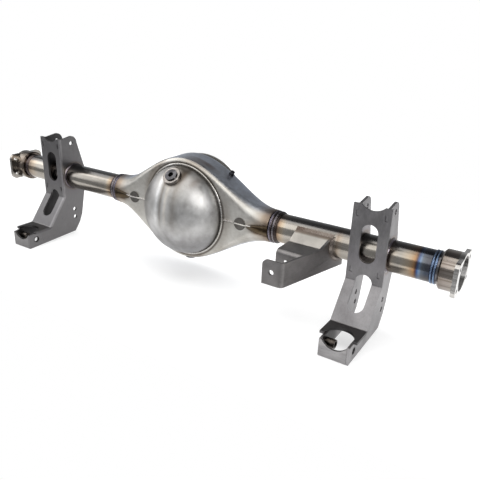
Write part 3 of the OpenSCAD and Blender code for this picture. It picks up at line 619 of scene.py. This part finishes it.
class HOUSING_OT_cover(bpy.types.Operator):
    """Builds the spun dome and the weld round its rim"""

    bl_idname = "housing.cover"
    bl_label = "Rear cover"

    def stains_and_painted_light(self, scene, x, y, z, rim):
        """Paint of the dome, as soft spots by place: painted highlights as bright streaks down its upper half with
        painted shade between them, painted shade on the left flank and towards the bottom, rust and a smudge beside
        the bung, the bung's dark ring and warm halo, and a dark line of painted shade at the rim."""
        right, above = x - scene.housing_centre.bung_x, z - scene.housing_centre.bung_z
        shade = bell(x + 14 * MM, 5 * MM) + 0.8 * bell(x - 27 * MM, 12 * MM)
        # Painted shade: the dome darkens towards its bottom
        base = mix(scene.housing_finish.dome, rgb("a6a5a6"), smooth_step(-10 * MM, -80 * MM, z))
        return paint_over(base, [
            # Painted highlights as two bright streaks, then painted shade between them and on the left flank
            ("ffffff", 0.9 * bell(x + 30 * MM, 7 * MM) * smooth_step(-50 * MM, 20 * MM, z)),
            ("f6f0e6", 0.6 * bell(x - 2 * MM, 6 * MM) * smooth_step(-40 * MM, 20 * MM, z)),
            ("8a8176", 0.6 * shade * smooth_step(-60 * MM, 10 * MM, z)),
            ("85807a", 0.6 * smooth_step(-52 * MM, -84 * MM, x)),
            ("4f3d30", 0.95 * bell(np.hypot(right - 24 * MM, above - 7 * MM), 13 * MM)),
            ("7a6654", 0.45 * bell(np.hypot(x - 64 * MM, z - 98 * MM), 13 * MM)),
            ("4a443f", 0.75 * bell(np.hypot(right, above / 0.7) - 27 * MM, 4 * MM)),
            ("a59a8c", 0.4 * bell(np.hypot(right, above / 0.8), 44 * MM)),
            # Painted shade: a dark line at the rim
            ("4a4744", 0.8 * smooth_step(rim - 18 * MM, rim - 11 * MM, y)),
        ])

    def bead(self, scene, radius):
        """The weld is a flat half ellipse turned about Y, whose height follows the ripples."""
        weld = scene.housing_weld
        low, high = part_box("rear_cover_weld")
        outer, root = high[0], radius - COVER_ROOT
        around = np.linspace(0, FULL_TURN, COVER_BEAD_STEPS, endpoint=False)[:, None]
        a = np.linspace(np.pi, 0, COVER_BEAD_POINTS)[None, :]
        waves = ripple(around, round(FULL_TURN * outer / weld.ripple), weld.height * GROUND_SHARE, 1.0)
        r = (outer + root) / 2 + (outer - root) / 2 * np.cos(a) + 0 * around
        y = high[1] - np.sin(a) * (high[1] - low[1] + waves)
        points = np.stack([r * np.cos(around), y, r * np.sin(around)], -1)
        # Paler crest, with the toes darkened as painted shade
        paint = mix(rgb("d2d0cd"), rgb("4d4843"), smooth_step(0.6, 0.1, np.sin(a)) + 0 * around)
        # Weld bead, ground: bright on top, with dark toes of painted shade
        ground = bare_steel("Ground weld bead", None, "b5b0a8", 0.28, (5, 5, 5), 0.05)
        faces = grid_faces(COVER_BEAD_STEPS, COVER_BEAD_POINTS, True, True)
        make_piece("rear_cover_bead", points, faces, ground, ("rear_cover_weld",), paint)

    def execute(self, context):
        """The dome is a quarter ellipse turned about Y, outside and inside, joined at the rim and closed at its
        poles."""
        scene = context.scene
        low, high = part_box("rear_cover")
        base, depth, radius = high[1], high[1] - low[1], high[0]
        wall = scene.housing_centre.wall
        t = np.linspace(0, np.pi / 2, DOME_RINGS)[:-1]
        angle = np.linspace(0, FULL_TURN, DOME_STEPS, endpoint=False)
        r = np.concatenate([radius * np.cos(t), (radius - wall) * np.cos(t[::-1])])[:, None]
        y = base - np.concatenate([depth * np.sin(t), (depth - wall) * np.sin(t[::-1])])[:, None]
        turned = np.stack([r * np.cos(angle), y + 0 * angle, r * np.sin(angle)], -1)
        n, m = len(t), len(angle)
        outside, inside = turned[:n].reshape(-1, 3), turned[n:].reshape(-1, 3)
        points = np.concatenate([outside, [[0, base - depth, 0]], inside, [[0, base - depth + wall, 0]]])
        pole, start, top_row = n * m, n * m + 1, (n - 1) * m
        j = np.arange(m)
        k = (j + 1) % m
        shell = grid_faces(n, m, flip=True)
        faces = shell + (np.asarray(shell) + start).tolist()
        faces += np.stack([top_row + k, np.full(m, pole), top_row + j], -1).tolist()
        faces += np.stack([start + j, np.full(m, start + pole), start + k], -1).tolist()
        faces += np.stack([start + top_row + j, start + top_row + k, k, j], -1).tolist()
        # The dome's paint holds its stains and its painted highlights and shade
        paint = self.stains_and_painted_light(scene, *points.T, base)
        paint[start:] = rgb(INSIDE)
        # Spun steel, sanded: satin, with broad cloudy patches
        satin = bare_steel("Satin spun steel", None, "c9c8c6", 0.46, (14, 14, 14), 0.05, blotch=(38, 38, 60))
        make_piece("rear_cover_dome", points, faces, satin, ("rear_cover",), paint)
        self.bead(scene, radius)
        return {"FINISHED"}


class HOUSING_OT_welds(bpy.types.Operator):
    """Builds the rippled welds round the tubes and along the seam"""

    bl_idname = "housing.welds"
    bl_label = "Welds"

    def rings(self, name, node, lines, steps, proud, seed, finish):
        """Beads about the axle as one piece. Each line is X, radius and paint: the radius over X is turned about the
        X axis and closed along the tube, with ripples where it stands proud of the tube."""
        weld = bpy.context.scene.housing_weld
        around = np.linspace(0, FULL_TURN, steps, endpoint=False)[:, None]
        points, faces, colours = [], [], []
        for x, r, paint in lines:
            start = sum(map(len, points))
            waves = ripple(around, round(FULL_TURN * r.min() / weld.ripple), weld.height, seed)
            radius = r + smooth_step(*proud, r - r.min()) * waves
            ring = np.stack([x + 0 * around, radius * np.cos(around), radius * np.sin(around)], -1)
            faces += (np.array(grid_faces(steps, len(x), True, x[-1] < x[0])) + start).tolist()
            points.append(ring.reshape(-1, 3))
            colours.append(np.broadcast_to(paint, ring.shape).reshape(-1, 3))
        make_piece(name, np.concatenate(points), faces, finish, (node,), np.concatenate(colours))

    def raised(self, node, sign, t, tube_r, height):
        """X from the node's end nearest the middle outwards, and the radius that a share of its height gives there,
        down to the tube at both ends."""
        low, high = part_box(node)
        near, far = (low[0], high[0]) if sign > 0 else (high[0], low[0])
        r = tube_r + (high[2] - tube_r) * height
        r[0] = r[-1] = tube_r
        return near + (far - near) * t, r

    def fillet(self, face, way, leg, tube_r):
        """A hollow fillet between a plate's face and the tube: its width and height are a leg times one less the
        cosine, and one less the sine, to the power 0.8."""
        a = np.linspace(0, np.pi / 2, FILLET_POINTS)
        x = np.append(face, face + way * leg * (1 - np.cos(a)) ** 0.8)
        r = np.append(tube_r, tube_r + leg * (1 - np.sin(a)) ** 0.8)
        return x, r, mix(rgb("6f675f"), rgb("8f8790"), smooth_step(0, 1, np.linspace(0, 1, FILLET_POINTS + 1)))

    def seam(self, scene, finish):
        """Half round beads along X at the middle of the rear face, from the cover's weld over each disc to its
        pocket. The bead stands on the disc where it crosses it."""
        low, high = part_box("center_upper_half")
        disc_low, disc_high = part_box("seam_discs")
        ring_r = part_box("rear_cover_weld")[1][0]
        disc_far = disc_high[0]
        disc_near = disc_far - (disc_high[2] - disc_low[2])
        pocket = high[0] - scene.housing_centre.pocket_len
        t = np.linspace(0, 1, SEAM_STEPS)[:, None]
        a = np.linspace(0, np.pi, SEAM_POINTS)[None, :]
        x = ring_r + (pocket + SEAM_INTO - ring_r) * t
        step = smooth_step(disc_near - SEAM_STEP_UP, disc_near, x)
        step = step * smooth_step(disc_far + SEAM_STEP_UP, disc_far, x)
        foot = low[1] + (disc_low[1] - low[1]) * step
        # Full size but for a thirtieth of the way at each end, where it narrows to a twentieth
        taper = np.minimum(1.0, np.minimum(t, 1 - t) * 30 + 0.05)
        size = taper * (1.0 + 0.12 * np.sin(FULL_TURN * x / scene.housing_weld.ripple))
        y = foot - SEAM_RISE * size * np.sin(a)
        z = SEAM_HALF * size * np.cos(a) + SEAM_WANDER * np.sin(x / SEAM_WANDER_LENGTH)
        for side, sign in SIDES:
            points = np.stack([sign * x + 0 * a, y, z], -1)
            paint = np.broadcast_to(rgb("f2eee6"), points.shape)
            faces = grid_faces(SEAM_STEPS, SEAM_POINTS, False, sign > 0)
            ends = [list(range(SEAM_POINTS)), list(range((SEAM_STEPS - 1) * SEAM_POINTS, SEAM_STEPS * SEAM_POINTS))]
            ends[1 if sign < 0 else 0].reverse()
            make_piece(f"{side}_seam_bead", points, faces + ends, finish, (), paint)

    def execute(self, context):
        """Each ring takes its reach from its CAD box: a collar of three beads, two equal beads at the end, and a
        fillet on both sides of the bracket."""
        # Weld metal with purple, blue and straw heat tint: glossy, with fine ripples
        tinted = bare_steel("Heat tinted weld", None, "8d8a94", 0.24, (4, 4, 4), 0.05)
        tube_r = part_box("left_axle_tube")[1][2]
        t = np.linspace(0, 1, RING_POINTS)
        beads = sum(
            share * np.abs(np.sin(np.pi * np.clip((t - start) / width, 0, 1))) ** power * ((t >= first) & (t < last))
            for share, start, width, power, first, last in COLLAR_BEADS
        )
        collar = np.maximum(beads, 0.35 * smooth_step(1.0, 0.7, t))
        collar_paint = paint_over(mix(rgb("544c48"), rgb("8f8994"), bell(t - 0.2, 0.1)), [
            ("a9a4a8", 0.8 * bell(t - 0.58, 0.08)),
            ("463a32", 0.8 * smooth_step(0.78, 0.95, t)),
        ])
        twin = np.abs(np.sin(FULL_TURN * t))
        blue = mix(rgb("2c374b"), rgb("8fa6c4"), twin**3)
        brown = mix(blue, rgb("6b5744"), 0.8 + 0 * t)
        for side, sign in SIDES:
            node = f"{side}_tube_collar"
            line = (*self.raised(node, sign, t, tube_r, collar), collar_paint)
            self.rings(f"{side}_collar_beads", node, [line], RING_STEPS, RING_PROUD, 2.0 + sign, tinted)
            node = f"{side}_end_weld"
            line = (*self.raised(node, sign, t, tube_r, twin**0.6), blue if sign > 0 else brown)
            self.rings(f"{side}_end_beads", node, [line], RING_STEPS, RING_PROUD, 4.0 + sign, tinted)
            node = f"{side}_bracket_welds"
            low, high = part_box(node)
            leg = high[2] - tube_r
            lines = [self.fillet(low[0] + leg, -1, leg, tube_r), self.fillet(high[0] - leg, 1, leg, tube_r)]
            self.rings(f"{side}_bracket_fillets", node, lines, FILLET_STEPS, FILLET_PROUD, 3.0, tinted)
        self.seam(context.scene, tinted)
        # Weld metal of the track bar bracket, browned by heat: half glossy and a little rough
        browned = bare_steel("Browned weld metal", "8d857e", "5c5049", 0.3, (4, 4, 4), 0.15)
        put_material(NODES["track_bar_weld"], browned)
        return {"FINISHED"}


class HOUSING_OT_tubes(bpy.types.Operator):
    """Finishes the axle tubes and the housing ends"""

    bl_idname = "housing.tubes"
    bl_label = "Tubes and ends"

    def execute(self, context):
        """Gives both tubes and both ends their finish, tinted along the axle by the welds, with painted shade on the
        tubes and painted light and reflections in the bores.
        """
        # Polished bare steel tube: glossy, with long fine grain, the heat tint of its welds, and painted shade on its
        # top and underside
        polished = bare_steel(
            "Polished steel tube", context.scene.housing_finish.tube, "857f77", 0.2,
            (90, 2.5, 2.5), 0.04, blotch=(120, 40, 40), rough_span=0.1,
            tints=[
                (half_x, 280, 330, SOCKET_TINT), (plain_x, 440, 620, RIGHT_PLATES_TINT),
                (plain_x, 600, 700, RIGHT_TUBE_TINT), (plain_x, -700, -470, LEFT_TUBE_TINT),
                (plain_z, -40, 40, TUBE_PAINTED_SHADE),
            ],
        )
        # Forged end, tinted by heat, with a bright machined flange and a duller bore painted pale as painted light,
        # crossed by painted reflection bands
        forged = bare_steel(
            "Machined forged end", "dedbd7", "4f4a45", 0.16, (200, 2.6, 2.6), 0.1,
            blotch=(400, 7, 7), dull=(bore_radius, 40.4, 41.2, 0.4),
            tints=[
                (half_x, 680, 750, END_TINT), (plain_x, -747, -675, LEFT_END_TINT),
                (bore_radius, 30, 60, BORE_PAINTED_LIGHT), (bore_height, -45, 45, BORE_PAINTED_REFLECTIONS),
            ],
        )
        for side in ("left", "right"):
            put_material(NODES[f"{side}_axle_tube"], polished)
            put_material(NODES[f"{side}_housing_end"], forged)
            soften(NODES[f"{side}_housing_end"], 0.7 * MM)
        return {"FINISHED"}


class HOUSING_OT_plates(bpy.types.Operator):
    """Finishes the plates of the brackets"""

    bl_idname = "housing.plates"
    bl_label = "Bracket plates"

    def execute(self, context):
        """Gives the plates their mill grey, the left bracket a darker grey, and painted shade low on the face plates,
        inside the right foot and round the bolt holes.
        """
        outer = [corner[0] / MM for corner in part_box("left_bracket_outer_side")]
        inner = [corner[0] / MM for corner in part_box("left_bracket_inner_side")]
        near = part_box("right_bracket_inner_side")[1][0] / MM
        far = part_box("right_bracket_outer_side")[0][0] / MM
        low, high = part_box("right_shock_sleeve")
        bolt = (0.0, (low[1] + high[1]) / 2 / MM, (low[2] + high[2]) / 2 / MM)

        def bolt_distance(tree, place):
            """Distance in mm from the shock bolt's line."""
            moved = add(tree, "ShaderNodeVectorMath", {"operation": "SUBTRACT"}, {0: place, 1: bolt})
            return tube_distance(tree, moved.outputs[0])

        def foot_inside(tree, place):
            """Distance in mm from the shock bolt's line on the faces inside the right bracket, and large elsewhere."""
            middle = {0: plain_x(tree, place), 1: (near + far) / 2}
            across = add(tree, "ShaderNodeMath", {"operation": "SUBTRACT"}, middle).outputs[0]
            across = add(tree, "ShaderNodeMath", {"operation": "ABSOLUTE"}, {0: across}).outputs[0]
            return kept_within(tree, bolt_distance(tree, place), across, (far - near) / 2 + 0.4, 300.0)

        # The left bracket is painted darker, and near black on the faces inside it as painted shade
        left_dark, inner_shade = "4c4b4b", "1d1c1c"
        fade = (inner[1] + 2, left_dark, 0.0)
        left_face_dark = [(outer[0], left_dark, 0.5), (inner[1], left_dark, 0.5), fade]
        left_side_dark_and_shade = [
            (outer[0], left_dark, 0.4), (outer[1] - 1, left_dark, 0.4), (outer[1] - 0.5, inner_shade, 0.8),
            (inner[0] + 0.5, inner_shade, 0.8), (inner[0] + 1, left_dark, 0.62), (inner[1], left_dark, 0.62), fade,
        ]
        span = (outer[0] - 2, inner[1] + 4)
        near_tube = (tube_distance, 36, 70, NEAR_TUBE_TINT)
        # Laser cut mild steel plate: matt mill grey, darker on the left bracket, with painted shade low on the foot
        face = bare_steel(
            "Laser cut face plate", "959394", "767475", 0.42, (4, 4, 12), 0.1, blotch=(45, 45, 60),
            tints=[near_tube, (plain_x, *span, left_face_dark), (plain_z, -156, -130, FOOT_PAINTED_SHADE)],
        )
        # The same plate, darker on the left bracket and near black inside it as painted shade, with painted shade
        # inside the right foot and round the bolt holes
        side = bare_steel(
            "Laser cut side plate", "9c9a9b", "7c7a7b", 0.42, (4, 4, 12), 0.1, blotch=(45, 45, 60),
            tints=[
                near_tube, (plain_x, *span, left_side_dark_and_shade), (foot_inside, 0, 90, FOOT_INSIDE_SHADE), (bolt_distance, 0, 40, BOLT_HOLE_SHADE)
            ],
        )
        # The foot's end plate: scuffed along its width
        wall = bare_steel(
            "Laser cut end plate", "a3a1a1", "7c7a7b", 0.42, (14, 4, 3), 0.12, blotch=(60, 45, 20),
            tints=[(plain_x, *span, left_face_dark)],
        )
        for name in PLATES:
            put_material(NODES[name], face if "face" in name else wall if "wall" in name else side)
            soften(NODES[name], 0.5 * MM)
        # Bent mild steel plate: matt and browned by its weld; the cover's sloping roof is painted pale as painted
        # light
        for name, steel, tint in TRACK_PLATES:
            bent = bare_steel(
                steel, "949190", "767372", 0.44, (4, 10, 4), 0.1, blotch=(40, 60, 40),
                tints=[(tube_distance, 36, 90, tint)],
            )
            put_material(NODES[name], bent)
            soften(NODES[name], 0.5 * MM)
        return {"FINISHED"}


class HOUSING_OT_fittings(bpy.types.Operator):
    """Finishes the plugs, bungs, vent, sleeves and discs"""

    bl_idname = "housing.fittings"
    bl_label = "Fittings"

    def execute(self, context):
        """Gives each small fitting its finish and a soft edge; the thin discs keep theirs."""
        grain, blotch = (3, 3, 3), (18, 18, 18)
        # Turned steel, browned by the welding, and sleeves blackened by it: glossy and uneven
        turned = bare_steel("Browned turned steel", "8d8680", "4f4743", 0.26, grain, 0.05, blotch=blotch)
        black = bare_steel("Blackened sleeve steel", "67605a", "2b2724", 0.26, grain, 0.05, blotch=blotch)
        # Black oxide on steel: dark and glossy, worn in patches
        oxide = bare_steel("Worn black oxide", "605f62", "2c2b2e", 0.2, (6, 6, 6), 0.03, blotch=(20, 20, 20))
        # Plated steel, bright with darker patches
        plated = bare_steel("Worn bright plating", "a5a09c", "55504c", 0.2, (6, 6, 6), 0.03, blotch=(30, 30, 30))
        # Dark steel discs left as cut: matt
        cut = bare_steel("As cut steel disc", "6f6c68", "4b4845", 0.46, (5, 5, 5), 0.12)
        for name, finish, edge in (
            ("filler_bung", plated, 0.8), ("drain_bung", turned, 0.8), ("left_shock_sleeve", black, 0.8),
            ("right_shock_sleeve", black, 0.8), ("filler_plug", oxide, 0.6), ("drain_plug", oxide, 0.6),
            ("vent_fitting", oxide, 0.6),
        ):
            put_material(NODES[name], finish)
            soften(NODES[name], edge * MM)
        put_material(NODES["seam_discs"], cut)
        return {"FINISHED"}


class HOUSING_OT_stage(bpy.types.Operator):
    """Sets the floor, the lights and the camera"""

    bl_idname = "housing.stage"
    bl_label = "Studio"

    def floor(self, scene):
        """A flat sheet of paper just under the part."""
        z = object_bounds()[0][2] - FLOOR_GAP
        corners = [
            (-FLOOR_HALF, FLOOR_FRONT, z), (FLOOR_HALF, FLOOR_FRONT, z),
            (FLOOR_HALF, FLOOR_BACK, z), (-FLOOR_HALF, FLOOR_BACK, z),
        ]
        mesh = bpy.data.meshes.new("floor")
        mesh.from_pydata(corners, [], [(0, 1, 2, 3)])
        floor = bpy.data.objects.new("floor", mesh)
        scene.collection.objects.link(floor)
        floor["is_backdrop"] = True
        # White paper: matt, very slightly uneven, and lit enough from within to stay pale
        paper, tree, shader, place = new_material("White paper")
        uneven = mottle(tree, place, (300, 300, 300), 4.0, 0.55)
        colour = add(tree, "ShaderNodeMix", MIXED, {0: uneven, 6: linear("acacac"), 7: linear("b2b2b2")})
        tree.links.new(colour.outputs[2], shader.inputs["Base Color"])
        shader.inputs["Emission Color"].default_value = (1, 1, 1, 1)
        shader.inputs["Emission Strength"].default_value = 0.66
        shader.inputs["Roughness"].default_value = 0.9
        shader.inputs["Specular IOR Level"].default_value = 0.0
        put_material(floor, paper)

    def light(self, scene, name, place, target, size, power, colour, glossy):
        """A rectangular soft box that looks at a target."""
        data = bpy.data.lights.new(name, "AREA")
        data.shape = "RECTANGLE"
        data.size, data.size_y = size
        data.energy = power
        data.color = colour
        lamp = bpy.data.objects.new(name, data)
        scene.collection.objects.link(lamp)
        lamp.location = place
        lamp.rotation_mode = "QUATERNION"
        lamp.rotation_quaternion = (Vector(target) - Vector(place)).to_track_quat("-Z", "Y")
        lamp.visible_glossy, lamp.visible_diffuse = glossy, not glossy

    def world(self, scene):
        """White to the camera; to the part, a dim room that darkens from level to overhead."""
        world = bpy.data.worlds.new("studio")
        world.use_nodes = True
        tree = world.node_tree
        tree.nodes.clear()
        way = add(tree, "ShaderNodeTexCoord").outputs["Generated"]
        up = add(tree, "ShaderNodeSeparateXYZ", None, {0: way}).outputs[2]
        fall = add(tree, "ShaderNodeMapRange", None, {0: up, 1: 0.25, 2: 0.9, 3: 0.42, 4: 0.09}).outputs[0]
        dusk = add(tree, "ShaderNodeBackground", None, {0: (0.95, 0.97, 1, 1), 1: fall})
        white = add(tree, "ShaderNodeBackground", None, {0: (1, 1, 1, 1), 1: 1.0})
        seen = add(tree, "ShaderNodeLightPath").outputs["Is Camera Ray"]
        both = add(tree, "ShaderNodeMixShader", None, {0: seen, 1: dusk.outputs[0], 2: white.outputs[0]})
        add(tree, "ShaderNodeOutputWorld", None, {0: both.outputs[0]})
        scene.world = world

    def camera(self, scene):
        """A camera at its place, turned by azimuth and elevation, then rolled about its view."""
        s = scene.housing_stage
        right = np.array([np.cos(s.azimuth), np.sin(s.azimuth), 0.0])
        level = np.array([-np.sin(s.azimuth), np.cos(s.azimuth), 0.0])
        ahead = level * np.cos(s.elevation) - np.array([0.0, 0.0, np.sin(s.elevation)])
        up = np.cross(right, ahead)
        across = right * np.cos(s.roll) + up * np.sin(s.roll)
        over = up * np.cos(s.roll) - right * np.sin(s.roll)
        data = bpy.data.cameras.new("camera")
        data.lens, data.sensor_width = s.lens, SENSOR_WIDTH
        camera = bpy.data.objects.new("camera", data)
        scene.collection.objects.link(camera)
        turn = Matrix(np.stack([across, over, -ahead], 1).tolist()).to_4x4()
        camera.matrix_world = Matrix.Translation(s.place) @ turn
        scene.camera = camera

    def execute(self, context):
        """Sets the floor, the soft boxes, the room and the camera."""
        scene = context.scene
        scene.view_settings.view_transform = "Standard"
        self.floor(scene)
        for row in LIGHTS:
            self.light(scene, *row)
        self.world(scene)
        self.camera(scene)
        return {"FINISHED"}


class HOUSING_PT_panel(bpy.types.Panel):
    """Buttons for each group of pieces"""

    bl_idname = "HOUSING_PT_panel"
    bl_label = "Axle Housing"
    bl_space_type = "VIEW_3D"
    bl_region_type = "UI"
    bl_category = "Axle Housing"

    def draw(self, context):
        """Lists the operators and then the settings, a box for each group."""
        for operator in OPERATORS:
            self.layout.operator(operator.bl_idname)
        for name, group in SETTINGS.items():
            box = self.layout.box()
            for key in group.__annotations__:
                box.prop(getattr(context.scene, name), key)


OPERATORS = (
    HOUSING_OT_centre,
    HOUSING_OT_cover,
    HOUSING_OT_welds,
    HOUSING_OT_tubes,
    HOUSING_OT_plates,
    HOUSING_OT_fittings,
    HOUSING_OT_stage,
)
SETTINGS = {
    "housing_centre": CentreSettings,
    "housing_weld": WeldSettings,
    "housing_finish": FinishSettings,
    "housing_stage": StageSettings,
}


def register():
    """Registers the settings, the operators and the panel."""
    for name, group in SETTINGS.items():
        bpy.utils.register_class(group)
        setattr(bpy.types.Scene, name, bpy.props.PointerProperty(type=group))
    for operator in OPERATORS:
        bpy.utils.register_class(operator)
    bpy.utils.register_class(HOUSING_PT_panel)


def unregister():
    """Takes back what register() added."""
    bpy.utils.unregister_class(HOUSING_PT_panel)
    for operator in reversed(OPERATORS):
        bpy.utils.unregister_class(operator)
    for name, group in SETTINGS.items():
        delattr(bpy.types.Scene, name)
        bpy.utils.unregister_class(group)


def main():
    """Builds every group of pieces."""
    register()
    bpy.ops.housing.centre()
    bpy.ops.housing.cover()
    bpy.ops.housing.welds()
    bpy.ops.housing.tubes()
    bpy.ops.housing.plates()
    bpy.ops.housing.fittings()
    bpy.ops.housing.stage()


if __name__ == "__main__":
    main()
